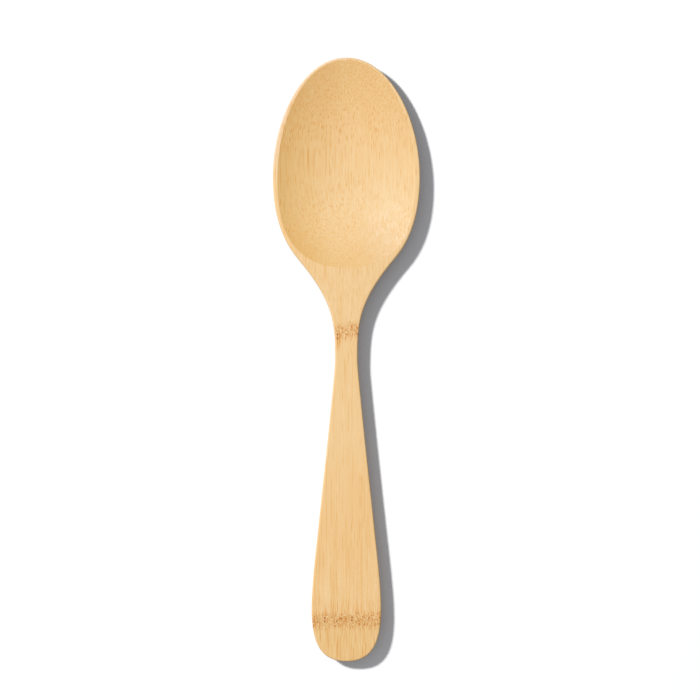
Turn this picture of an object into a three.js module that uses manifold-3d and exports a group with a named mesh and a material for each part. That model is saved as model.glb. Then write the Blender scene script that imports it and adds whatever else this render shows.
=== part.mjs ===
// A bamboo serving spoon, carved in one piece from the thick wall of a culm.
// The bowl points to +Y and is hollowed from above, the handle points to -Y,
// and the spoon lies on the belly of its bowl and on the back of its handle.
// Millimetres, +Z up, origin at the bottom centre of the bounding box.
import * as THREE from "three";
import { mergeVertices } from "three/addons/utils/BufferGeometryUtils.js";
import Module from "manifold-3d";

const { clamp, lerp, smoothstep } = THREE.MathUtils;

// Driving dimensions. A station is a distance from the bowl's tip along the spoon.
const spoonLength = 305;

// Outline from above: widths at their stations, and the length over which
// each curve keeps its direction before it turns.
const bowlWidth = 74.3;
const bowlWidestAt = 60;
const tipFlatness = 22.5;
const bowlFlankUp = 28;
const bowlFlankDown = 27;
const shoulderWidth = 47.8;
const shoulderAt = 102.5;
const shoulderSlope = 0.83;
const shoulderLeadIn = 6;
const shoulderLeadOut = 28.5;
const neckWidth = 11.35;
const neckAt = 153.5;
const neckHollow = 18.5;
const neckSpread = 3.5;
const handleTaperFrom = 199.7;
const handleSlope = 0.107;
const handleWidth = 30.1;
const handleTaperTo = 245.5;
const endFlank = 35;
const endFlatness = 21.3;

// Side view: the front face runs in a gentle S, and the back's lowest line
// dips to the table under the bowl and under the handle.
const tipFrontHeight = 9;
const shoulderFrontHeight = 10.55;
const shoulderFrontAt = 96;
const handleFrontHeight = 9.15;
const handleFrontAt = 158;
const endFrontHeight = 9.8;
const bellyLowestAt = 54;
const neckBackHeight = 2.4;
const neckBackAt = 138;
const handleLowestAt = 232;
const endBackHeight = 1.5;
const sandedFlat = 0.35;

// Edge roundings, and how full the back's cross-section is.
const rimRound = 0.6;
const shoulderRound = 1.1;
const handleRound = 0.7;
const handleBackRound = 4.5;
const bowlFullness = 1.7;
const handleFullness = 2.2;
const tipBackLength = 46;
const tipFullness = 1.6;

// The hollow: where its edge runs, how deep it is, and how round its floor is.
const hollowDepth = 6.1;
const hollowWidth = 69.8;
const hollowTipMargin = 1.1;
const hollowEndAt = 106.2;
const hollowTipFlatness = 22.6;
const hollowFlankUp = 26.3;
const hollowFlankDown = 16;
const hollowEndFlatness = 34;
const hollowRoundness = 2.3;

// How finely the curves are cut into facets.
const tipStations = 18;
const bowlStations = 32;
const handleStations = 17;
const endStations = 15;
const roundSteps = 4;
const backSteps = 11;
const hollowRings = 11;
const hollowSpokes = 88;
const curveSamples = 60;

// A point of the plan, as half width and station.
function plan(halfWidth, station) {
  return new THREE.Vector2(halfWidth, station);
}

function along(point, slope, distance) {
  const direction = plan(slope, 1).normalize();
  return point.clone().addScaledVector(direction, distance);
}

// The right-hand outline, from the tip to the middle of the handle's end.
function spoonOutline() {
  const tip = plan(0, 0);
  const widest = plan(bowlWidth / 2, bowlWidestAt);
  const shoulder = plan(shoulderWidth / 2, shoulderAt);
  const neck = plan(neckWidth / 2, neckAt);
  const taperEnd = plan(handleWidth / 2, handleTaperTo);
  const taperStart = along(taperEnd, handleSlope, handleTaperFrom - handleTaperTo);
  const end = plan(0, spoonLength);
  const curves = [
    new THREE.CubicBezierCurve(
      tip,
      plan(tipFlatness, 0),
      plan(widest.x, widest.y - bowlFlankUp),
      widest,
    ),
    new THREE.CubicBezierCurve(
      widest,
      plan(widest.x, widest.y + bowlFlankDown),
      along(shoulder, -shoulderSlope, -shoulderLeadIn),
      shoulder,
    ),
    new THREE.CubicBezierCurve(
      shoulder,
      along(shoulder, -shoulderSlope, shoulderLeadOut),
      plan(neck.x, neck.y - neckHollow),
      neck,
    ),
    new THREE.CubicBezierCurve(
      neck,
      plan(neck.x, neck.y + neckSpread),
      along(taperStart, handleSlope, -neckSpread),
      taperStart,
    ),
    new THREE.LineCurve(taperStart, taperEnd),
    new THREE.CubicBezierCurve(
      taperEnd,
      along(taperEnd, handleSlope, endFlank),
      plan(endFlatness, end.y),
      end,
    ),
  ];
  return curves.flatMap((curve) => curve.getPoints(curveSamples));
}

// The right-hand edge of the hollow, from its tip end to its neck end.
function hollowOutline() {
  const tip = plan(0, hollowTipMargin);
  const widest = plan(hollowWidth / 2, bowlWidestAt);
  const end = plan(0, hollowEndAt);
  const upper = new THREE.CubicBezierCurve(
    tip,
    plan(hollowTipFlatness, tip.y),
    plan(widest.x, widest.y - hollowFlankUp),
    widest,
  );
  const lower = new THREE.CubicBezierCurve(
    widest,
    plan(widest.x, widest.y + hollowFlankDown),
    plan(hollowEndFlatness, end.y),
    end,
  );
  const path = new THREE.CurvePath();
  path.add(upper);
  path.add(lower);
  return path.getSpacedPoints(hollowSpokes / 2);
}

const outline = spoonOutline();

function halfWidthAt(station) {
  const next = outline.findIndex((point) => point.y > station);
  const before = outline[next - 1];
  const after = outline[next];
  return lerp(before.x, after.x, (station - before.y) / (after.y - before.y));
}

// Distance in the plan from a point to the outline.
function edgeDistance(halfWidth, station) {
  const point = new THREE.Vector3(halfWidth, station, 0);
  const foot = new THREE.Vector3();
  const edge = new THREE.Line3();
  let least = Infinity;
  for (let i = 1; i < outline.length; i += 1) {
    edge.start.set(outline[i - 1].x, outline[i - 1].y, 0);
    edge.end.set(outline[i].x, outline[i].y, 0);
    edge.closestPointToPoint(point, true, foot);
    least = Math.min(least, foot.distanceTo(point));
  }
  return least;
}

// A quarter of a superellipse over a share from 0 at the edge to 1 inside it.
function quarterCurve(share, fullness) {
  const rest = 1 - clamp(share, 0, 1);
  return (1 - rest ** fullness) ** (1 / fullness);
}

function frontHeight(station) {
  if (station < shoulderFrontAt) {
    const share = smoothstep(station, 0, shoulderFrontAt);
    return lerp(tipFrontHeight, shoulderFrontHeight, share);
  }
  if (station < handleFrontAt) {
    const share = smoothstep(station, shoulderFrontAt, handleFrontAt);
    return lerp(shoulderFrontHeight, handleFrontHeight, share);
  }
  const share = (station - handleFrontAt) / (spoonLength - handleFrontAt);
  return lerp(handleFrontHeight, endFrontHeight, share ** 3);
}

function frontRound(station) {
  const towardShoulder = smoothstep(station, bowlWidestAt, shoulderAt);
  const towardHandle = smoothstep(station, shoulderAt, neckAt);
  return lerp(lerp(rimRound, shoulderRound, towardShoulder), handleRound, towardHandle);
}

// Where the rounded front edge meets the side, at the spoon's full width.
function sideHeight(station) {
  return frontHeight(station) - frontRound(station);
}

// The lowest line of the back, before its two flats are sanded level.
function backHeight(station) {
  if (station < tipBackLength) {
    const share = quarterCurve(station / tipBackLength, tipFullness);
    return lerp(sideHeight(station), -sandedFlat, share);
  }
  if (station < neckBackAt) {
    const share = smoothstep(station, bellyLowestAt, neckBackAt);
    return lerp(-sandedFlat, neckBackHeight, share);
  }
  if (station < handleLowestAt) {
    const share = smoothstep(station, neckBackAt, handleLowestAt);
    return lerp(neckBackHeight, -sandedFlat, share);
  }
  const share = (station - handleLowestAt) / (spoonLength - handleLowestAt);
  return lerp(-sandedFlat, endBackHeight, share ** 2);
}

// Width over which the back curves up to the side.
function backRound(station) {
  return lerp(neckWidth / 2, handleBackRound, smoothstep(station, neckAt, handleTaperFrom));
}

function frontSurface(halfWidth, station) {
  const round = frontRound(station);
  const inside = Math.min(edgeDistance(halfWidth, station), round);
  return sideHeight(station) + Math.sqrt(round ** 2 - (round - inside) ** 2);
}

// The bowl's belly curves over its whole width, the handle's back only at its edges.
function backSurface(halfWidth, station) {
  const inBowl = station < neckAt;
  const share = inBowl
    ? 1 - halfWidth / halfWidthAt(station)
    : edgeDistance(halfWidth, station) / backRound(station);
  const towardNeck = smoothstep(station, bowlWidestAt, neckAt);
  const fullness = lerp(bowlFullness, handleFullness, towardNeck);
  return lerp(sideHeight(station), backHeight(station), quarterCurve(share, fullness));
}

// Half widths, as shares of the full one, where a section has its points:
// across the front face, round the front edge, and round the back.
function sectionShares(station) {
  const nearby = 0.05;
  const width = halfWidthAt(station);
  const slope = (halfWidthAt(station + nearby) - halfWidthAt(station - nearby)) / (2 * nearby);
  const slant = Math.hypot(1, slope);
  const frontBand = Math.min(0.85, frontRound(station) * slant / width);
  const backBand = station < neckAt ? 0.93 : Math.min(0.93, backRound(station) * slant / width);
  const front = [0, (1 - frontBand) / 2];
  for (let i = 0; i <= roundSteps; i += 1) {
    const turn = (i / roundSteps) * (Math.PI / 2);
    front.push(1 - frontBand * (1 - Math.sin(turn)));
  }
  const back = [];
  for (let i = 1; i <= backSteps; i += 1) {
    const turn = (i / backSteps) * (Math.PI / 2);
    back.push(1 - backBand * (1 - Math.cos(turn)));
  }
  back.push(0);
  return { front, back };
}

// Station to row coordinate: the tip is at the far end of +Y.
function rowY(station) {
  return spoonLength / 2 - station;
}

// One closed ring of points, counterclockwise as seen from the tip.
function sectionRing(station) {
  const width = halfWidthAt(station);
  const { front, back } = sectionShares(station);
  const right = [
    ...front.map((share) => [share * width, frontSurface(share * width, station)]),
    ...back.map((share) => [share * width, backSurface(share * width, station)]),
  ];
  const left = right.slice(1, -1).reverse().map(([x, z]) => [-x, z]);
  return [...right, ...left].map(([x, z]) => new THREE.Vector3(x, rowY(station), z));
}

function spoonStations() {
  const stations = [];
  for (let i = 1; i <= tipStations; i += 1) {
    stations.push(bowlWidestAt * (1 - Math.cos((i / tipStations) * (Math.PI / 2))));
  }
  for (let i = 1; i <= bowlStations; i += 1) {
    stations.push(lerp(bowlWidestAt, neckAt, i / bowlStations));
  }
  for (let i = 1; i <= handleStations; i += 1) {
    stations.push(lerp(neckAt, handleTaperTo, i / handleStations));
  }
  for (let i = 1; i < endStations; i += 1) {
    const share = Math.sin((i / endStations) * (Math.PI / 2));
    stations.push(lerp(handleTaperTo, spoonLength, share));
  }
  return stations;
}

// A closed surface through rings of equal length, drawn to a point at each end.
function loftGeometry(rings, startPoint, endPoint) {
  const positions = [];
  const indices = [];
  const size = rings[0].length;
  positions.push(...startPoint.toArray());
  rings.flat().forEach((point) => positions.push(...point.toArray()));
  positions.push(...endPoint.toArray());
  const last = 1 + rings.length * size;
  for (let j = 0; j < size; j += 1) {
    const next = (j + 1) % size;
    indices.push(0, 1 + j, 1 + next);
    for (let i = 0; i + 1 < rings.length; i += 1) {
      const near = 1 + i * size;
      const far = near + size;
      indices.push(near + j, far + j, far + next);
      indices.push(near + j, far + next, near + next);
    }
    indices.push(last, last - size + next, last - size + j);
  }
  const geometry = new THREE.BufferGeometry();
  geometry.setAttribute("position", new THREE.Float32BufferAttribute(positions, 3));
  geometry.setIndex(indices);
  return geometry;
}

function blankGeometry() {
  const rings = spoonStations().map(sectionRing);
  const tip = new THREE.Vector3(0, rowY(0), sideHeight(0));
  const end = new THREE.Vector3(0, rowY(spoonLength), sideHeight(spoonLength));
  return loftGeometry(rings, tip, end);
}

// The tool that hollows the bowl: rings that shrink from its edge to the
// deepest point, and a mouth that opens above the front face.
function hollowGeometry() {
  const overshoot = 1 + 0.5 / hollowRings;
  const mouthHeight = 3 * hollowDepth;
  const right = hollowOutline();
  const left = right.slice(1, -1).reverse().map((point) => plan(-point.x, point.y));
  const edge = [...right, ...left];
  const ring = (share) => edge.map((point) => {
    const x = point.x * share;
    const station = lerp(bowlWidestAt, point.y, share);
    const depth = hollowDepth * (1 - share ** hollowRoundness);
    return new THREE.Vector3(x, rowY(station), frontHeight(station) - depth);
  });
  const rings = [];
  for (let i = 1; i <= hollowRings; i += 1) {
    rings.push(ring((i - 0.5) / hollowRings));
  }
  rings.push(ring(overshoot));
  rings.push(rings.at(-1).map((point) => point.clone().setZ(mouthHeight)));
  const deepest = frontHeight(bowlWidestAt) - hollowDepth;
  const floor = new THREE.Vector3(0, rowY(bowlWidestAt), deepest);
  const mouth = new THREE.Vector3(0, rowY(bowlWidestAt), mouthHeight);
  return loftGeometry(rings, floor, mouth);
}

// Everything below the table's level, which sanding takes off the back.
function sandingGeometry() {
  const reach = 2 * spoonLength;
  const thickness = 20;
  const box = new THREE.BoxGeometry(reach, reach, thickness);
  box.translate(0, 0, -thickness / 2);
  return box;
}

const wasm = await Module();
wasm.setup();

function solid(geometry) {
  const bare = geometry.clone();
  bare.deleteAttribute("normal");
  bare.deleteAttribute("uv");
  const merged = mergeVertices(bare);
  return new wasm.Manifold(new wasm.Mesh({
    numProp: 3,
    vertProperties: new Float32Array(merged.attributes.position.array),
    triVerts: new Uint32Array(merged.index.array),
  }));
}

function surface(manifold) {
  const { vertProperties, triVerts } = manifold.getMesh();
  const geometry = new THREE.BufferGeometry();
  geometry.setAttribute("position", new THREE.Float32BufferAttribute(vertProperties, 3));
  geometry.setIndex(new THREE.Uint32BufferAttribute(triVerts, 1));
  geometry.computeVertexNormals();
  return geometry;
}

function carvedSpoon() {
  const blank = solid(blankGeometry());
  const hollowed = blank.subtract(solid(hollowGeometry()));
  return surface(hollowed.subtract(solid(sandingGeometry())));
}

const bamboo = new THREE.MeshStandardMaterial({
  color: 0xe6bd86,
  roughness: 0.55,
  metalness: 0,
});

const spoon = new THREE.Mesh(carvedSpoon(), bamboo);
spoon.name = "spoon";

const servingSpoon = new THREE.Group();
servingSpoon.add(spoon);

export default servingSpoon;
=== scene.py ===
# %% [markdown]
# # A bamboo serving spoon
#
# The spoon is one piece of bamboo. It is cut from the thick wall of a culm, planed
# flat on the front, hollowed with a gouge and sanded smooth. This script makes it in
# the same order: a flat board in the spoon's outline, then the front and back carved
# on it, then the hollow, then the finish. The last cells light it for its picture.

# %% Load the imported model
import bisect
import math

import bmesh
import bpy
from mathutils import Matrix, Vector
from mathutils.geometry import interpolate_bezier, intersect_point_line
from mathutils.kdtree import KDTree


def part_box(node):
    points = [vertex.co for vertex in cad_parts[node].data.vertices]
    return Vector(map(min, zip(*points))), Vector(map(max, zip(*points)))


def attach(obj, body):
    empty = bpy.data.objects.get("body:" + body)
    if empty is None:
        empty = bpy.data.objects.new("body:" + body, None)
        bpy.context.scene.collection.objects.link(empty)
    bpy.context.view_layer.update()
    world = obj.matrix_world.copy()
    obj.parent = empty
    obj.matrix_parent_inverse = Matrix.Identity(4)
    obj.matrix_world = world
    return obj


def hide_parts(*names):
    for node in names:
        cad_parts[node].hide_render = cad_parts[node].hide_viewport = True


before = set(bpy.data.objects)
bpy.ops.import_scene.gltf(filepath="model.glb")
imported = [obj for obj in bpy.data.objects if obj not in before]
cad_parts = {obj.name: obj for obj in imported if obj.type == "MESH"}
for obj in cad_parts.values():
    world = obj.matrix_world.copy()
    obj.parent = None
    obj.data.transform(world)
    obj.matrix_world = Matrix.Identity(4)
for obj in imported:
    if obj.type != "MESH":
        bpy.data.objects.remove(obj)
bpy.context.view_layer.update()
MM = 0.001
spoon_low, spoon_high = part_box("spoon")
spoon_length = (spoon_high[1] - spoon_low[1]) / MM
print(f"the spoon is {spoon_length:.1f} mm long")

# %% [markdown]
# ## The camera
#
# The spoon is photographed from straight above and from far away, so both of its
# sides look alike. A camera close by would show the walls of the bowl leaning
# outwards. A long lens two metres up keeps them upright. The picture is a square,
# 353.5 mm wide at the height of the rim, and the spoon lies a little left of its
# middle and a little low.

# %% Camera
picture_width = 353.5 * MM
picture_centre = Vector((1.75 * MM, 4.8 * MM, 9.5 * MM))
camera_distance = 2.0
sensor_width = 36.0
farthest_seen = 20.0

camera_data = bpy.data.cameras.new("picture_camera")
camera_data.sensor_width = sensor_width
camera_data.lens = sensor_width * camera_distance / picture_width
camera_data.clip_end = farthest_seen
camera = bpy.data.objects.new("picture_camera", camera_data)
camera.location = picture_centre + Vector((0.0, 0.0, camera_distance))
bpy.context.scene.collection.objects.link(camera)
bpy.context.scene.camera = camera
print(f"the lens is {camera_data.lens:.0f} mm long")

# %% [markdown]
# ## The outline
#
# Seen from above, the outline is a broad egg that pinches in to a slim neck and
# widens again, almost straight, to a rounded end. Tracing it by hand would need
# hundreds of points. A few Bezier curves do it with the sizes that a maker would
# draw: how wide it is at the bowl, shoulder, neck and handle, and how far each curve
# keeps straight on before it turns. A station is a distance from the bowl's tip.

# %% Outline sizes, in millimetres
bowl_width = 74.3
bowl_widest_at = 60.0
shoulder_width = 47.8
shoulder_at = 102.5
shoulder_slope = 0.83
neck_width = 11.35
neck_at = 153.5
handle_taper_from = 199.7
handle_slope = 0.107
handle_width = 30.1
handle_taper_to = 245.5


def plan(half_width, station):
    return Vector((half_width, station, 0.0))


def along(point, slope, distance):
    return point + distance * plan(slope, 1.0).normalized()


# %% Outline curves
# How far each curve keeps straight on at its ends, in millimetres.
tip_pull = 22.5
widest_pull_to_tip = 28.0
widest_pull_to_shoulder = 27.0
shoulder_pull_to_bowl = 6.0
shoulder_pull_to_neck = 28.5
neck_pull_to_shoulder = 18.5
neck_pull_to_handle = 3.5
taper_pull_to_neck = 3.5
taper_pull_to_end = 35.0
end_pull = 21.3
curve_samples = 60


def smooth_curve(start, pulled_from_start, pulled_from_end, end):
    return interpolate_bezier(start, pulled_from_start, pulled_from_end, end, curve_samples)


tip = plan(0.0, 0.0)
widest = plan(bowl_width / 2, bowl_widest_at)
shoulder = plan(shoulder_width / 2, shoulder_at)
neck = plan(neck_width / 2, neck_at)
taper_end = plan(handle_width / 2, handle_taper_to)
taper_start = along(taper_end, handle_slope, handle_taper_from - handle_taper_to)
handle_end = plan(0.0, spoon_length)

bowl_curve = smooth_curve(
    tip,
    tip + plan(tip_pull, 0.0),
    widest - plan(0.0, widest_pull_to_tip),
    widest,
)
flank_curve = smooth_curve(
    widest,
    widest + plan(0.0, widest_pull_to_shoulder),
    along(shoulder, -shoulder_slope, -shoulder_pull_to_bowl),
    shoulder,
)
shoulder_curve = smooth_curve(
    shoulder,
    along(shoulder, -shoulder_slope, shoulder_pull_to_neck),
    neck - plan(0.0, neck_pull_to_shoulder),
    neck,
)
neck_curve = smooth_curve(
    neck,
    neck + plan(0.0, neck_pull_to_handle),
    along(taper_start, handle_slope, -taper_pull_to_neck),
    taper_start,
)
end_curve = smooth_curve(
    taper_end,
    along(taper_end, handle_slope, taper_pull_to_end),
    handle_end + plan(end_pull, 0.0),
    handle_end,
)
drawn = bowl_curve + flank_curve[1:] + shoulder_curve[1:] + neck_curve[1:] + end_curve


def even_points(points, count):
    """The same curve, with count + 1 points at equal steps along it."""
    reach = [0.0]
    for before, after in zip(points, points[1:]):
        reach.append(reach[-1] + (after - before).length)
    evened = []
    for step in range(count + 1):
        wanted = reach[-1] * step / count
        i = min(max(bisect.bisect_left(reach, wanted), 1), len(reach) - 1)
        share = (wanted - reach[i - 1]) / (reach[i] - reach[i - 1])
        evened.append(points[i - 1].lerp(points[i], share))
    return evened


outline_steps = 240
outline = even_points(drawn, outline_steps)
outline_stations = [point.y for point in outline]
print(f"half of the outline has {len(outline)} points")

# %% [markdown]
# ## Side view
#
# The front face isn't quite flat: it dips a little at the tip and along the handle,
# in a gentle S. The back touches the table twice, under the bowl and under the
# handle, and arches over the neck between them. Each line of the side view is a
# short formula with the heights that it passes through, so that every point of the
# board can ask how high it has to be.

# %% Side view, in millimetres above the table
tip_front_height = 9.0
shoulder_front_height = 10.55
shoulder_front_at = 96.0
handle_front_height = 9.15
handle_front_at = 158.0
end_front_height = 9.8
belly_lowest_at = 54.0
neck_back_height = 2.4
neck_back_at = 138.0
handle_lowest_at = 232.0
end_back_height = 1.5
sanded_flat = 0.35
tip_back_length = 46.0
tip_fullness = 1.6


def mix(low, high, share):
    return low + (high - low) * share


def smooth_step(value, low, high):
    share = min(max((value - low) / (high - low), 0.0), 1.0)
    return share * share * (3.0 - 2.0 * share)


def quarter_curve(share, fullness):
    rest = 1.0 - min(max(share, 0.0), 1.0)
    return (1.0 - rest**fullness) ** (1.0 / fullness)


def front_height(station):
    if station < shoulder_front_at:
        share = smooth_step(station, 0.0, shoulder_front_at)
        return mix(tip_front_height, shoulder_front_height, share)
    if station < handle_front_at:
        share = smooth_step(station, shoulder_front_at, handle_front_at)
        return mix(shoulder_front_height, handle_front_height, share)
    share = (station - handle_front_at) / (spoon_length - handle_front_at)
    return mix(handle_front_height, end_front_height, share**3)


# %% Edge roundings, in millimetres
rim_round = 0.6
shoulder_round = 1.1
handle_round = 0.7
handle_back_round = 4.5
bowl_fullness = 1.7
handle_fullness = 2.2


def front_round(station):
    toward_shoulder = smooth_step(station, bowl_widest_at, shoulder_at)
    toward_handle = smooth_step(station, shoulder_at, neck_at)
    return mix(mix(rim_round, shoulder_round, toward_shoulder), handle_round, toward_handle)


def side_height(station):
    return front_height(station) - front_round(station)


def back_height(station):
    if station < tip_back_length:
        share = quarter_curve(station / tip_back_length, tip_fullness)
        return mix(side_height(station), -sanded_flat, share)
    if station < neck_back_at:
        share = smooth_step(station, belly_lowest_at, neck_back_at)
        return mix(-sanded_flat, neck_back_height, share)
    if station < handle_lowest_at:
        share = smooth_step(station, neck_back_at, handle_lowest_at)
        return mix(neck_back_height, -sanded_flat, share)
    share = (station - handle_lowest_at) / (spoon_length - handle_lowest_at)
    return mix(-sanded_flat, end_back_height, share**2)


# %% [markdown]
# ## The board
#
# A maker saws the outline out of a flat board first. Here the board is a circle
# whose points are moved onto the outline. Every edge that will be rounded needs
# rows of faces beside it, and an inset makes them all the way round at once. Then
# straight cuts across the middle give it the squares that can bend.

# %% Board in the spoon's outline
board = bmesh.new()
bmesh.ops.create_circle(board, cap_ends=True, segments=2 * outline_steps, radius=1.0)
left_side = [plan(-point.x, point.y) for point in reversed(outline[1:-1])]
board.verts.ensure_lookup_table()
for vert, point in zip(board.verts, outline + left_side):
    vert.co = point
board.faces.ensure_lookup_table()
middle = board.faces[0]
middle.normal_update()
print(f"the board is {middle.calc_area() / 100:.0f} square centimetres")

# %% Rows beside the edge
row_distances = [0.02, 0.07, 0.15, 0.27, 0.42, 0.6, 0.8, 1.05, 1.4, 1.9, 2.6, 3.5, 4.5]
done = 0.0
for distance in row_distances:
    bmesh.ops.inset_region(
        board,
        faces=[middle],
        thickness=distance - done,
        use_even_offset=True,
        use_boundary=True,
    )
    done = distance
print(f"the board has {len(board.faces)} faces with its rows")

# %% Cuts across and along the middle
cut_spacing = 1.5
cut_tolerance = 1e-5
middle_part = [middle, *middle.edges, *middle.verts]


def cut_middle(part, direction, low, high):
    count = round((high - low) / cut_spacing)
    for step in range(1, count):
        place = direction * mix(low, high, step / count)
        cut = bmesh.ops.bisect_plane(
            board, geom=part, dist=cut_tolerance, plane_co=place, plane_no=direction
        )
        part = cut["geom"]
    return part


middle_part = cut_middle(middle_part, Vector((0, 1, 0)), 0.0, spoon_length)
middle_part = cut_middle(middle_part, Vector((1, 0, 0)), -bowl_width / 2, bowl_width / 2)
print(f"the board has {len(board.faces)} faces after the cuts")

# %% [markdown]
# ## Carving the front and the back
#
# The board is doubled, so that one copy becomes the front and the other the back.
# Both meet at the outline, where the surface stands upright. Going inwards, the
# front rises over its rounded edge and is then level from side to side. The back of
# the bowl curves over its whole width, and the back of the handle only near its
# edges. All of it depends on how far a point lies from the outline.

# %% Distance to the outline
outline_tree = KDTree(len(outline))
for i, point in enumerate(outline):
    outline_tree.insert(point, i)
outline_tree.balance()


def edge_distance(half_width, station):
    place = plan(half_width, station)
    _, nearest, least = outline_tree.find(place)
    for i in (nearest - 1, nearest):
        if 0 <= i < len(outline) - 1:
            foot, share = intersect_point_line(place, outline[i], outline[i + 1])
            if 0.0 <= share <= 1.0:
                least = min(least, (foot - place).length)
    return least


def half_width_at(station):
    i = min(max(bisect.bisect_right(outline_stations, station), 1), len(outline) - 1)
    before, after = outline[i - 1], outline[i]
    return mix(before.x, after.x, (station - before.y) / (after.y - before.y))


# %% Heights of the two faces
at_the_edge = 0.001


def front_surface(half_width, station):
    edge = front_round(station)
    inside = min(edge_distance(half_width, station), edge)
    return side_height(station) + math.sqrt(edge**2 - (edge - inside) ** 2)


def back_surface(half_width, station):
    inside = edge_distance(half_width, station)
    if inside < at_the_edge:
        return side_height(station)
    if station < neck_at:
        share = 1.0 - half_width / half_width_at(station)
    else:
        toward_handle = smooth_step(station, neck_at, handle_taper_from)
        share = inside / mix(neck_width / 2, handle_back_round, toward_handle)
    toward_neck = smooth_step(station, bowl_widest_at, neck_at)
    fullness = mix(bowl_fullness, handle_fullness, toward_neck)
    return mix(side_height(station), back_height(station), quarter_curve(share, fullness))


# %% Carve both faces
doubled = bmesh.ops.duplicate(board, geom=board.verts[:] + board.edges[:] + board.faces[:])
back_verts = {item for item in doubled["geom"] if isinstance(item, bmesh.types.BMVert)}
for vert in board.verts:
    surface = back_surface if vert in back_verts else front_surface
    half_width, station = abs(vert.co.x), vert.co.y
    vert.co.z = surface(half_width, station)
print(f"carved {len(board.verts)} points")

# %% Turn it into the spoon's frame
edges_meet_within = 1e-4

for vert in board.verts:
    vert.co.y = spoon_length / 2 - vert.co.y
bmesh.ops.remove_doubles(board, verts=board.verts, dist=edges_meet_within)
bmesh.ops.recalc_face_normals(board, faces=board.faces)
print(f"the blank holds {board.calc_volume() / 1000:.1f} cubic centimetres")

# %% [markdown]
# ## Sanding the two flats
#
# The lowest lines of the bowl and the handle reach a third of a millimetre below
# the table. A sanding board takes that off, and leaves two small flats that the
# spoon stands on. A cut with a plane does the same, and the holes it leaves are
# filled.

# %% Sand the back level
bmesh.ops.bisect_plane(
    board,
    geom=board.verts[:] + board.edges[:] + board.faces[:],
    dist=cut_tolerance,
    plane_co=(0, 0, 0),
    plane_no=(0, 0, 1),
    clear_inner=True,
)
open_edges = [edge for edge in board.edges if edge.is_boundary]
flats = bmesh.ops.holes_fill(board, edges=open_edges, sides=0)
bmesh.ops.scale(board, verts=board.verts, vec=(MM, MM, MM))
print(f"sanding left {len(flats['faces'])} flats")

# %% [markdown]
# ## The hollow
#
# The hollow of the bowl is an egg in plan, close to the tip and with a broad end
# towards the neck. Its floor is deepest at the widest place and rises evenly on all
# sides to a crisp edge. A gouge sweeps it out, so the tool here is a profile, spun
# once round and stretched to the egg. The Boolean modifier then takes the tool's
# shape away from the blank.

# %% Hollow sizes, in millimetres
hollow_depth = 6.1
hollow_width = 69.8
hollow_tip_margin = 1.1
hollow_end_at = 106.2
hollow_roundness = 2.3
hollow_tip_pull = 22.6
hollow_side_pull_to_tip = 26.3
hollow_side_pull_to_neck = 16.0
hollow_end_pull = 34.0

hollow_tip = plan(0.0, hollow_tip_margin)
hollow_side = plan(hollow_width / 2, bowl_widest_at)
hollow_end = plan(0.0, hollow_end_at)
upper_edge = smooth_curve(
    hollow_tip,
    hollow_tip + plan(hollow_tip_pull, 0.0),
    hollow_side - plan(0.0, hollow_side_pull_to_tip),
    hollow_side,
)
lower_edge = smooth_curve(
    hollow_side,
    hollow_side + plan(0.0, hollow_side_pull_to_neck),
    hollow_end + plan(hollow_end_pull, 0.0),
    hollow_end,
)
hollow_centre = plan(0.0, bowl_widest_at)
edge_arms = [point - hollow_centre for point in upper_edge + lower_edge[1:]]
edge_turns = [math.atan2(arm.x, -arm.y) for arm in edge_arms]
print(f"half of the hollow's edge has {len(edge_arms)} points")


def hollow_reach(turn):
    """Distance from the hollow's centre to its edge, turn measured from the tip."""
    turn = abs(turn)
    i = min(max(bisect.bisect_right(edge_turns, turn), 1), len(edge_turns) - 1)
    share = (turn - edge_turns[i - 1]) / (edge_turns[i] - edge_turns[i - 1])
    return mix(edge_arms[i - 1].length, edge_arms[i].length, share)


# %% Spin the gouge's profile
hollow_rows = 28
hollow_spokes = 176
mouth_height = 3 * hollow_depth
seam_closes_within = 1e-5

gouge = bmesh.new()
shares = [0.0] + [(i + 0.5) / hollow_rows for i in range(hollow_rows + 1)]
profile = [gouge.verts.new((0, share, 0)) for share in shares]
profile.append(gouge.verts.new((0, shares[-1], mouth_height)))
profile.append(gouge.verts.new((0, 0, mouth_height)))
profile_edges = [gouge.edges.new(pair) for pair in zip(profile, profile[1:])]
bmesh.ops.spin(
    gouge,
    geom=profile + profile_edges,
    axis=(0, 0, 1),
    cent=(0, 0, 0),
    angle=2 * math.pi,
    steps=hollow_spokes,
    use_merge=True,
)
bmesh.ops.remove_doubles(gouge, verts=gouge.verts, dist=seam_closes_within)
print(f"the gouge's sweep has {len(gouge.faces)} faces")

# %% Stretch the sweep to the egg
for vert in gouge.verts:
    share = math.hypot(vert.co.x, vert.co.y)
    turn = math.atan2(vert.co.x, vert.co.y)
    reach = share * hollow_reach(turn)
    station = bowl_widest_at - reach * math.cos(turn)
    if vert.co.z < mouth_height / 2:
        depth = hollow_depth * (1.0 - share**hollow_roundness)
        vert.co.z = front_height(station) - depth
    vert.co.x = reach * math.sin(turn)
    vert.co.y = spoon_length / 2 - station
bmesh.ops.recalc_face_normals(gouge, faces=gouge.faces)
bmesh.ops.scale(gouge, verts=gouge.verts, vec=(MM, MM, MM))
print(f"the hollow is {hollow_depth} mm deep and {hollow_width} mm wide")

# %% Hollow the bowl


def make_object(name, shape):
    mesh = bpy.data.meshes.new(name)
    shape.to_mesh(mesh)
    shape.free()
    made = bpy.data.objects.new(name, mesh)
    bpy.context.scene.collection.objects.link(made)
    return made


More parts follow.
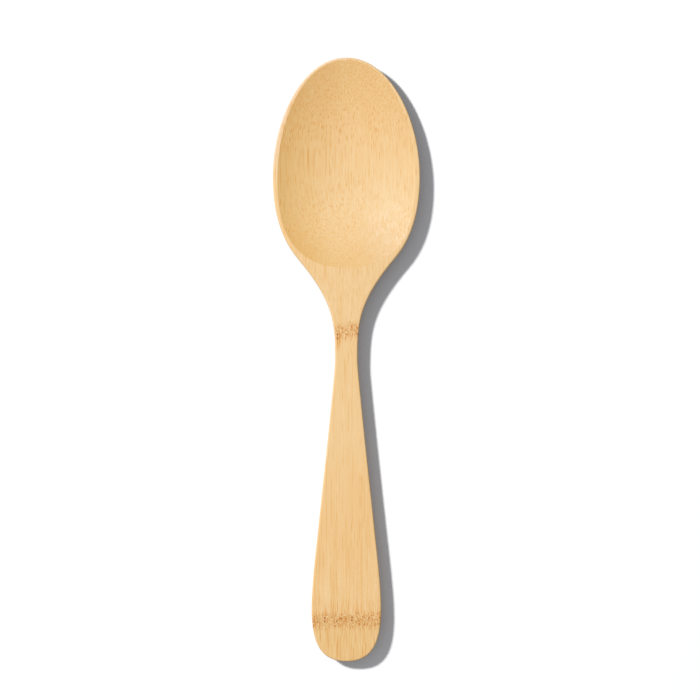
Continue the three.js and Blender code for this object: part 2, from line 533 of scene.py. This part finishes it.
spoon = make_object("carved_spoon", board)
gouge_sweep = make_object("gouge_sweep", gouge)
hollowing = spoon.modifiers.new("Hollow", "BOOLEAN")
hollowing.operation = "DIFFERENCE"
hollowing.solver = "EXACT"
hollowing.object = gouge_sweep
evaluated = spoon.evaluated_get(bpy.context.evaluated_depsgraph_get())
hollowed = bpy.data.meshes.new_from_object(evaluated)
spoon.modifiers.remove(hollowing)
spoon.data = hollowed
bpy.data.objects.remove(gouge_sweep)
print(f"the hollowed spoon has {len(hollowed.polygons)} faces")

# %% Smooth faces and a crisp edge
crisp_angle = math.radians(8.0)
edge_closeness = 0.012
deep_inside = 1.0


def on_hollow_edge(place):
    arm = plan(abs(place.x) / MM, spoon_length / 2 - place.y / MM) - hollow_centre
    if arm.length < deep_inside:
        return False
    share = arm.length / hollow_reach(math.atan2(arm.x, -arm.y))
    return abs(share - 1.0) < edge_closeness


shape = bmesh.new()
shape.from_mesh(spoon.data)
for face in shape.faces:
    face.smooth = True
crisp = 0
for edge in shape.edges:
    on_edge = all(on_hollow_edge(vert.co) for vert in edge.verts)
    if on_edge and edge.calc_face_angle(0.0) > crisp_angle:
        edge.smooth = False
        crisp += 1
shape.to_mesh(spoon.data)
shape.free()
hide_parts("spoon")
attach(spoon, "root")
print(f"{crisp} edges stay crisp")

# %% [markdown]
# ## Bamboo
#
# Moso bamboo, planed, carved and sanded, with a thin coat of oil. Its hard fibre
# bundles run along the culm like straws through lighter tissue. Where the surface
# runs along them they show as long streaks, and where it cuts them, on the sloping
# ends of the hollow, as small dots. A flat picture of grain would never do that. A
# solid pattern does it by itself: it is the same straws everywhere, and the carved
# surface shows whichever part of them it meets. To the eye this gives a warm straw
# colour with golden streaks, and only a soft sheen, because the oil is thin and the
# sanded wood scatters the light.

# %% Colours and the node helper


def linear(hex_colour):
    """An sRGB hex colour as the linear values that the shader works with."""
    channels = [int(hex_colour[i : i + 2], 16) / 255 for i in (0, 2, 4)]
    turned = [c / 12.92 if c <= 0.04045 else ((c + 0.055) / 1.055) ** 2.4 for c in channels]
    return (*turned, 1.0)


def add_node(tree, kind, inputs=(), **settings):
    """Adds a node. Its inputs, by name or number, are values or outputs of other nodes,
    and a whole node stands for the first of its outputs that is switched on."""
    node = tree.nodes.new(kind)
    for name, value in settings.items():
        setattr(node, name, value)
    for name, value in dict(inputs).items():
        if isinstance(value, bpy.types.Node):
            value = next(output for output in value.outputs if output.enabled)
        if isinstance(value, bpy.types.NodeSocket):
            tree.links.new(value, node.inputs[name])
        else:
            node.inputs[name].default_value = value
    return node


def new_material(name):
    material = bpy.data.materials.new(name)
    material.use_nodes = True
    material.node_tree.nodes.clear()
    return material, material.node_tree


# %% Bamboo: places in millimetres
bamboo, tree = new_material("oiled_moso_bamboo")
coordinates = add_node(tree, "ShaderNodeTexCoord")
in_metres = {0: coordinates.outputs["Object"], "Scale": 1 / MM}
place = add_node(tree, "ShaderNodeVectorMath", in_metres, operation="SCALE")
axes = add_node(tree, "ShaderNodeSeparateXYZ", {0: place})
across, along_spoon = axes.outputs["X"], axes.outputs["Y"]
print(f"a millimetre of the patterns is {MM} m of the spoon")

# %% [markdown]
# Every 146 mm the culm has a node, a wall across its inside. There the bundles weave
# across each other and take up more oil, so each node is a darker, spotted band about
# 7 mm long with ragged ends. The spoon has two of them, in the neck and near the
# handle's end, equally far from the middle of the piece of culm between them. On that
# side their dark bundles run out in tails, so one distance, measured from that middle,
# serves both.

# %% Bamboo: distance past a node
culm_middle_at = 211.1
node_spacing = 146.0
ragged_sizes = (1.1, 400.0, 2.0)
ragged_reach = 7.5

culm_middle = spoon_length / 2 - culm_middle_at
from_middle = {0: along_spoon, 1: culm_middle}
from_middle = add_node(tree, "ShaderNodeMath", from_middle, operation="SUBTRACT")
from_middle = add_node(tree, "ShaderNodeMath", {0: from_middle}, operation="ABSOLUTE")
ragged_scale = [1 / size for size in ragged_sizes]
ragged = add_node(tree, "ShaderNodeMapping", {"Vector": place, "Scale": ragged_scale})
ragged = add_node(tree, "ShaderNodeTexNoise", {"Vector": ragged, "Scale": 1.0, "Detail": 1.0})
to_node = {0: ragged, 1: ragged_reach, 2: -(ragged_reach + node_spacing) / 2}
to_node = add_node(tree, "ShaderNodeMath", to_node, operation="MULTIPLY_ADD")
past_node = add_node(tree, "ShaderNodeMath", {0: from_middle, 1: to_node}, operation="ADD")
neck_node = culm_middle_at - node_spacing / 2
handle_node = culm_middle_at + node_spacing / 2
print(f"the nodes lie {neck_node:.0f} and {handle_node:.0f} mm from the tip")

# %% [markdown]
# The hollow has colours of its own, which carry painted shade across its walls, and two
# measures tell it from the face. On its walls the surface leans towards the deepest point,
# and its floor lies in the middle of the egg and looks up.

# %% Bamboo: in or out of the hollow
deepest = (0.0, spoon_length / 2 - bowl_widest_at, 0.0)
egg_middle = (0.0, spoon_length / 2 - (hollow_tip_margin + hollow_end_at) / 2, 0.0)
egg_halves = (hollow_width / 2, (hollow_end_at - hollow_tip_margin) / 2)

normal = coordinates.outputs["Normal"]
normal_axes = add_node(tree, "ShaderNodeSeparateXYZ", {0: normal})
level = {0: normal, 1: (1.0, 1.0, 0.0)}
level = add_node(tree, "ShaderNodeVectorMath", level, operation="MULTIPLY")
outwards = add_node(tree, "ShaderNodeVectorMath", {0: place, 1: deepest}, operation="SUBTRACT")
lean = {0: level, 1: outwards}
lean = add_node(tree, "ShaderNodeVectorMath", lean, operation="DOT_PRODUCT")
in_egg = {0: place, 1: egg_middle}
in_egg = add_node(tree, "ShaderNodeVectorMath", in_egg, operation="SUBTRACT")
in_egg = {0: in_egg, 1: (1 / egg_halves[0], 1 / egg_halves[1], 0.0)}
in_egg = add_node(tree, "ShaderNodeVectorMath", in_egg, operation="MULTIPLY")
egg_reach = add_node(tree, "ShaderNodeVectorMath", {0: in_egg}, operation="LENGTH")
print(f"the hollow's egg is {2 * egg_halves[1]:.1f} mm long")

# %% Bamboo: places on the spoon
# Each is where one or two measures have passed from their first limit to their second,
# in millimetres, apart from the reach in the egg and the normal, which are shares.
limits = {
    "node_band": [(past_node, 5.4, 1.4), (past_node, -5.0, -1.5)],
    "node_tails": [(past_node, 4.6, 2.2), (past_node, -13.0, -3.0)],
    "hollow_walls": [(lean, -1.0, -5.0), (along_spoon, 28.0, 38.0)],
    "hollow_floor": [(egg_reach, 0.85, 0.7), (normal_axes.outputs["Z"], 0.2, 0.5)],
    "left_to_centre": [(across, -38.0, 0.0)],
    "centre_to_right": [(across, 0.0, 34.0)],
    "tip_slope": [(along_spoon, 76.0, 140.0), (across, -55.0, -5.0)],
    "neck_slope": [(along_spoon, 76.0, 40.0)],
    # The corner low on the right of the hollow, where the wall faces the lamp, gets a painted
    # sheen.
    "sheen_corner": [(along_spoon, 80.0, 50.0), (across, 0.0, 34.0)],
    # Low on the right of the hollow, where it faces the lamp, pale strands are painted glints.
    "painted_glints_right": [(along_spoon, 86.0, 74.0), (across, 4.0, 14.0)],
    "painted_glints_left": [(along_spoon, 52.0, 62.0), (across, 34.0, 24.0)],
    "upper_left_rim": [(along_spoon, 88.0, 108.0), (across, 12.0, -8.0)],
    "bowl": [(along_spoon, 38.0, 52.0)],
    "bowl_tip": [(along_spoon, 95.0, 118.0)],
    "right_wall": [(along_spoon, 38.0, 52.0), (across, 0.0, 22.0)],
    "handle_middle": [(along_spoon, -42.0, -58.0), (along_spoon, -140.0, -90.0)],
    "handle_end": [(along_spoon, -60.0, -120.0)],
    "below_node": [(along_spoon, -125.0, -135.0)],
}
masks = {}
for name, edges in limits.items():
    mask = 1.0
    for measure, start, full in edges:
        edge = {0: measure, 1: start, 2: full}
        edge = add_node(tree, "ShaderNodeMapRange", edge, interpolation_type="SMOOTHSTEP")
        mask = add_node(tree, "ShaderNodeMath", {0: mask, 1: edge}, operation="MULTIPLY")
    masks[name] = mask
hollow = {0: masks["hollow_walls"], 1: masks["hollow_floor"]}
masks["hollow"] = add_node(tree, "ShaderNodeMath", hollow, operation="MAXIMUM")
painted_glints = {0: masks["painted_glints_left"], 1: masks["painted_glints_right"]}
masks["painted_glints"] = add_node(tree, "ShaderNodeMath", painted_glints, operation="MULTIPLY")
print(f"{len(masks)} places on the spoon")

# %% [markdown]
# No straw is quite straight. The grain drifts by half a millimetre over a few
# centimetres, and in a node it weaves by up to a millimetre. The patterns that follow
# the grain read a place that has been moved by these two amounts.

# %% Bamboo: the grain's path
# For each: sizes of its noise, how far it moves the grain, and how much of it there is.
movements = [
    ((5.0, 22.0, 4.0), (0.9, 0.0, 0.5), 1.0),
    ((1.6, 2.4, 2.0), (1.6, 0.0, 1.3), masks["node_band"]),
]
grain = place
for sizes, reach, amount in movements:
    scale = [1 / size for size in sizes]
    noise = add_node(tree, "ShaderNodeMapping", {"Vector": place, "Scale": scale})
    noise = add_node(tree, "ShaderNodeTexNoise", {"Vector": noise, "Scale": 1.0, "Detail": 1.0})
    move = {0: noise.outputs["Color"], 1: reach, 2: [-axis / 2 for axis in reach]}
    move = add_node(tree, "ShaderNodeVectorMath", move, operation="MULTIPLY_ADD")
    move = {0: move, "Scale": amount}
    move = add_node(tree, "ShaderNodeVectorMath", move, operation="SCALE")
    grain = add_node(tree, "ShaderNodeVectorMath", {0: grain, 1: move}, operation="ADD")
print(f"{len(movements)} movements of the grain")

# %% [markdown]
# A fibre is a hundredth of a millimetre thick, too fine for any picture, so fibres are
# drawn coarser, as strands 0.3 mm thick. Bundles have their real size: they lie about
# 0.95 mm apart across the spoon, and closer together in its depth. All patterns are
# longer than they are wide, because they follow the culm. The pale strands of painted
# glint also reach deep into the wood, so that a slope of the hollow doesn't cut them short.

# %% Bamboo: patterns in the wood
# For each: where it is read, its size across, along and into the spoon in millimetres,
# the detail and roughness of its noise, and the levels between which it shows.
pattern_sizes = {
    "fibres": (grain, (0.3, 12.0, 0.14), (3.0, 0.7), (0.2, 0.8)),
    "streaks": (grain, (0.6, 45.0, 0.6), (2.0, 0.5), (0.35, 0.7)),
    "long_streaks": (grain, (0.6, 90.0, 0.6), (1.0, 0.5), (0.45, 0.62)),
    "stretches": (grain, (1.0, 9.0, 0.6), (1.0, 0.5), (0.3, 0.6)),
    "tone": (place, (14.0, 60.0, 8.0), (2.0, 0.5), (0.3, 0.7)),
    "specks": (place, (0.4, 0.6, 0.4), (1.0, 0.5), (0.3, 0.7)),
    "spots": (place, (0.62, 1.4, 0.7), (1.0, 0.5), (0.56, 0.64)),
    "flecks": (place, (0.6, 1.2, 0.6), (1.0, 0.5), (0.55, 0.63)),
    "tails": (grain, (0.55, 14.0, 0.5), (1.0, 0.5), (0.54, 0.63)),
    # Pale strands of painted glint, low on the right where the hollow faces the lamp.
    "painted_glints": (grain, (0.48, 4.4, 4.0), (1.0, 0.5), (0.5, 0.66)),
    "glints": (grain, (0.45, 3.0, 0.4), (1.0, 0.5), (0.52, 0.66)),
}
patterns = {}
for name, (where, sizes, (detail, roughness), (low, high)) in pattern_sizes.items():
    scale = [1 / size for size in sizes]
    noise = add_node(tree, "ShaderNodeMapping", {"Vector": where, "Scale": scale})
    noise = {"Vector": noise, "Scale": 1.0, "Detail": detail, "Roughness": roughness}
    noise = add_node(tree, "ShaderNodeTexNoise", noise)
    shown = {0: noise, 1: low, 2: high}
    shown = add_node(tree, "ShaderNodeMapRange", shown, interpolation_type="SMOOTHSTEP")
    patterns[name] = shown
print(f"{len(patterns)} patterns of noise")

# %% Bamboo: bundles
bundle_sizes = (0.95, 60.0, 0.26)
bundle_core = (0.34, 0.1)
palest_bundle = 0.5

bundle_place = {
    "Vector": grain,
    "Scale": [1 / size for size in bundle_sizes],
    "Rotation": (math.pi / 2, 0.0, 0.0),
}
bundle_place = add_node(tree, "ShaderNodeMapping", bundle_place)
cells = {"Vector": bundle_place, "Scale": 1.0}
cells = add_node(tree, "ShaderNodeTexVoronoi", cells, voronoi_dimensions="2D")
core = {0: cells, 1: bundle_core[0], 2: bundle_core[1]}
core = add_node(tree, "ShaderNodeMapRange", core, interpolation_type="SMOOTHSTEP")
chance = add_node(tree, "ShaderNodeSeparateColor", {0: cells.outputs["Color"]})
darkness = {0: chance, 3: palest_bundle}
darkness = add_node(tree, "ShaderNodeMapRange", darkness, interpolation_type="SMOOTHSTEP")
patterns["bundles"] = core
for part in (darkness, patterns["stretches"]):
    product = {0: patterns["bundles"], 1: part}
    patterns["bundles"] = add_node(tree, "ShaderNodeMath", product, operation="MULTIPLY")
print(f"the bundles lie {bundle_sizes[0]} mm apart across the spoon")

# %% Bamboo: how strongly each pattern shows
# For each: the level that it varies about, its strength on the whole spoon, and what
# is added to that in some places.
# Weaker fibres and specks on the right of the bowl, and weaker fibres and bundles under the
# painted glints, are painted sheen that washes the marks out where the lamp shines.
more_fibres = {
    "bowl": 0.22,
    "hollow": 0.08,
    "bowl_tip": 0.2,
    "right_wall": -0.35,
    "painted_glints": -0.2,
    "handle_middle": -0.2,
    "handle_end": 0.3,
    "below_node": 0.6,
}
more_bundles = {
    "bowl": 0.22,
    "hollow": 0.1,
    "bowl_tip": 0.4,
    "painted_glints": -0.6,
    "handle_middle": 0.2,
    "below_node": 1.5,
}
strengths = {
    "fibres": (0.5, 0.72, more_fibres),
    "bundles": (0.0, 0.75, more_bundles),
    "streaks": (0.0, 1.0, {"handle_middle": -0.5, "handle_end": -0.5, "below_node": 1.0}),
    "long_streaks": (0.0, 0.0, {"handle_end": 0.95, "below_node": -0.8}),
    "specks": (0.0, 1.0, {"bowl_tip": -0.4, "right_wall": -0.35}),
    "spots": (0.0, 0.0, {"node_band": 0.84}),
    "flecks": (0.0, 0.0, {"node_band": 0.66}),
    "tails": (0.0, 0.0, {"node_tails": 1.0}),
    "painted_glints": (0.0, 0.0, {"painted_glints": 0.32}),
}
for name, (level, everywhere, added) in strengths.items():
    strength = everywhere
    for mask_name, amount in added.items():
        strength = {0: masks[mask_name], 1: amount, 2: strength}
        strength = add_node(tree, "ShaderNodeMath", strength, operation="MULTIPLY_ADD")
    about_level = {0: patterns[name], 1: level}
    about_level = add_node(tree, "ShaderNodeMath", about_level, operation="SUBTRACT")
    shown = {0: about_level, 1: strength, 2: level}
    patterns[name] = add_node(tree, "ShaderNodeMath", shown, operation="MULTIPLY_ADD")
print(f"{len(tree.nodes)} nodes so far")

# %% [markdown]
# The wood's ground colour is laid first. Across the hollow it goes from a golden left
# wall over a paler floor to a duller right wall, and that is painted shade: deeper and
# more golden on the wall turned from the lamp, toned down on the wall that faces it. The
# slopes at the tip and the neck are darker and more golden, the tip's less so towards the
# left. In one corner, low on the right, a paler colour is a painted sheen where the wall
# faces the lamp.

# %% Bamboo: ground colours
face_colour = linear("f0d3a6")
upper_rim_colour = linear("efd4b4")
# The two wall colours are painted shade: the left wall, turned from the lamp, deeper and more
# golden, and the right wall, which faces it, toned down.
left_wall_shade_colour = linear("f3cf91")
floor_colour = linear("f0d7ae")
right_wall_shade_colour = linear("e3c99e")
tip_slope_tint = linear("fbefda")
neck_slope_tint = linear("f4ead1")
# A paler colour for the corner low on the right is a painted sheen where the wall faces the
# lamp.
painted_sheen_colour = linear("e2c69f")

hollow_colours = [
    ("left_to_centre", "MIX", floor_colour),
    ("centre_to_right", "MIX", right_wall_shade_colour),
    ("tip_slope", "MULTIPLY", tip_slope_tint),
    ("neck_slope", "MULTIPLY", neck_slope_tint),
    ("sheen_corner", "MIX", painted_sheen_colour),
]
inside = left_wall_shade_colour
for name, blend, added in hollow_colours:
    inside = {0: masks[name], 6: inside, 7: added}
    inside = add_node(tree, "ShaderNodeMix", inside, data_type="RGBA", blend_type=blend)
face = {0: masks["upper_left_rim"], 6: face_colour, 7: upper_rim_colour}
face = add_node(tree, "ShaderNodeMix", face, data_type="RGBA")
colour = {0: masks["hollow"], 6: face, 7: inside}
colour = add_node(tree, "ShaderNodeMix", colour, data_type="RGBA")
print(f"{len(hollow_colours)} colours blend over that of the hollow's left wall")

# %% [markdown]
# Everything darker lies on the ground colour as a stain, which multiplies it: oil, the
# bundles and fibres, and the spots of a node. Two things are lighter than the ground.
# In a node, flecks of tissue show between the spots. And low on the right of the hollow
# a few strands are painted paler, as painted glints where they lie open to the lamp.

# %% Bamboo: stains
stains = [
    (masks["handle_middle"], "fefaf2"),
    (masks["below_node"], "faf8ef"),
    (patterns["tone"], "fefaf4"),
    (patterns["streaks"], "fdf7ec"),
    (patterns["long_streaks"], "faf0da"),
    (patterns["fibres"], "f9edd6"),
    (patterns["bundles"], "f3dfbb"),
    (patterns["specks"], "fdf7ec"),
    (masks["node_band"], "f4e9da"),
    (patterns["spots"], "e4c08a"),
    (patterns["tails"], "efcf9c"),
]
# The second pale mark is painted glints: pale strands where the hollow faces the lamp.
pale_marks = [
    (patterns["flecks"], "f2d6a0"),
    (patterns["painted_glints"], "f4e0c6"),
]
for blend, marks in (("MULTIPLY", stains), ("MIX", pale_marks)):
    for share, mark in marks:
        mixed = {0: share, 6: colour, 7: linear(mark)}
        colour = add_node(tree, "ShaderNodeMix", mixed, data_type="RGBA", blend_type=blend)
print(f"{len(stains)} stains and {len(pale_marks)} kinds of pale marks")

# %% [markdown]
# A few bundles are cut right through in a node, and leave open pores, mostly in pairs.
# They are dark dots less than a millimetre wide, and on each node one can count them,
# so each is listed: its distance from the middle line, its distance from the
# tip, and its radius.

# %% Bamboo: pores in the nodes
# Distances from a pore are counted in its radii. Its soft edge lies between two of them,
# and the search for the nearest pore starts at the third.
pore_colour = linear("7e3a14")
pore_outside = 1.2
pore_inside = 0.5
far_from_pores = 10.0
pore_places = [
    (-4.5, 139.7, 0.42),
    (-4.5, 141.8, 0.42),
    (-11.0, 283.0, 0.42),
    (-11.0, 284.8, 0.42),
    (2.8, 282.6, 0.42),
    (2.7, 284.3, 0.42),
    (-4.9, 284.6, 0.4),
    (8.0, 282.4, 0.27),
    (11.5, 282.7, 0.3),
    (-14.5, 284.8, 0.27),
]

flat_place = {0: place, 1: (1.0, 1.0, 0.0)}
flat_place = add_node(tree, "ShaderNodeVectorMath", flat_place, operation="MULTIPLY")
to_pore = far_from_pores
for pore_x, station, radius in pore_places:
    distance = {0: flat_place, 1: (pore_x, spoon_length / 2 - station, 0.0)}
    distance = add_node(tree, "ShaderNodeVectorMath", distance, operation="DISTANCE")
    in_radii = {0: distance, 1: radius}
    in_radii = add_node(tree, "ShaderNodeMath", in_radii, operation="DIVIDE")
    to_pore = {0: in_radii, 1: to_pore}
    to_pore = add_node(tree, "ShaderNodeMath", to_pore, operation="MINIMUM")
pores = {0: to_pore, 1: pore_outside, 2: pore_inside}
pores = add_node(tree, "ShaderNodeMapRange", pores, interpolation_type="SMOOTHSTEP")
pored = {0: pores, 6: colour, 7: pore_colour}
colour = add_node(tree, "ShaderNodeMix", pored, data_type="RGBA")
print(f"{len(pore_places)} pores")

# %% [markdown]
# Sanded and oiled wood is dull with a soft sheen. Sanding leaves the strands a
# hundredth of a millimetre proud, and some of them shine a little more than others.

# %% Bamboo: shader
strand_height = 0.012 * MM
dull_roughness = 0.62
glint_roughness = 0.47
oiled_wood_ior = 1.45

relief = {"Height": patterns["fibres"], "Strength": 1.0, "Distance": strand_height}
relief = add_node(tree, "ShaderNodeBump", relief)
roughness = {0: patterns["glints"], 1: glint_roughness - dull_roughness, 2: dull_roughness}
roughness = add_node(tree, "ShaderNodeMath", roughness, operation="MULTIPLY_ADD")
surface = {
    "Base Color": colour,
    "Roughness": roughness,
    "IOR": oiled_wood_ior,
    "Normal": relief,
}
surface = add_node(tree, "ShaderNodeBsdfPrincipled", surface)
add_node(tree, "ShaderNodeOutputMaterial", {"Surface": surface})
spoon.data.materials.clear()
spoon.data.materials.append(bamboo)
print(f"the bamboo has {len(tree.nodes)} nodes")

# %% [markdown]
# ## The floor
#
# The spoon lies on matt white paper, which scatters the light and so shows the shadow
# but no gloss. What is seen of it, straight or in a reflection, is pure white. The light
# that it throws back onto the spoon is only that of a mid grey. A picture on a white page
# is retouched like that, and light from white paper all around would wash out the
# spoon's sides and back.

# %% Floor
floor_reach = 2.0
floor_gap = 0.05 * MM

floor_shape = bmesh.new()
bmesh.ops.create_grid(floor_shape, x_segments=1, y_segments=1, size=floor_reach)
bmesh.ops.translate(floor_shape, verts=floor_shape.verts, vec=(0, 0, -floor_gap))
floor = make_object("floor", floor_shape)

paper, tree = new_material("matt_white_paper")
ray = add_node(tree, "ShaderNodeLightPath")
looking = {0: ray.outputs["Is Camera Ray"], 1: ray.outputs["Is Glossy Ray"]}
looking = add_node(tree, "ShaderNodeMath", looking, operation="MAXIMUM")
looking = {0: looking, 1: ray.outputs["Is Transmission Ray"]}
looking = add_node(tree, "ShaderNodeMath", looking, operation="MAXIMUM")
seen = add_node(tree, "ShaderNodeBsdfDiffuse", {"Color": linear("ffffff")})
thrown_back = add_node(tree, "ShaderNodeBsdfDiffuse", {"Color": linear("666666")})
both = add_node(tree, "ShaderNodeMixShader", {0: looking, 1: thrown_back, 2: seen})
add_node(tree, "ShaderNodeOutputMaterial", {"Surface": both})
floor.data.materials.append(paper)
print(f"the floor is {2 * floor_reach:.0f} m wide")

# %% [markdown]
# ## Light
#
# One lamp stands high at the upper left, four and a half metres away, and its shadow
# falls to the lower right with an almost crisp edge. The rest is even light from all
# around, nearly a third of the whole, and the shadow keeps most of that.

# %% Light
lamp_place = Vector((-2.5, 1.56, 3.38))
lamp_width = 0.43
lamp_share = 0.757
sky_share = 0.345

lamp_distance = lamp_place.length
lamp_data = bpy.data.lights.new("key_lamp", "AREA")
lamp_data.shape = "DISK"
lamp_data.size = lamp_width
lamp_data.energy = lamp_share * math.pi**2 * lamp_distance**3 / lamp_place.z
lamp = bpy.data.objects.new("key_lamp", lamp_data)
lamp.location = lamp_place
lamp.rotation_euler = lamp_place.to_track_quat("Z", "Y").to_euler()
bpy.context.scene.collection.objects.link(lamp)
print(f"the lamp gives {lamp_data.energy:.0f} W")

world = bpy.data.worlds.new("even_light")
world.use_nodes = True
sky = world.node_tree.nodes["Background"]
sky.inputs["Color"].default_value = linear("f5f8ff")
sky.inputs["Strength"].default_value = sky_share
bpy.context.scene.world = world
bpy.context.scene.view_settings.view_transform = "Standard"
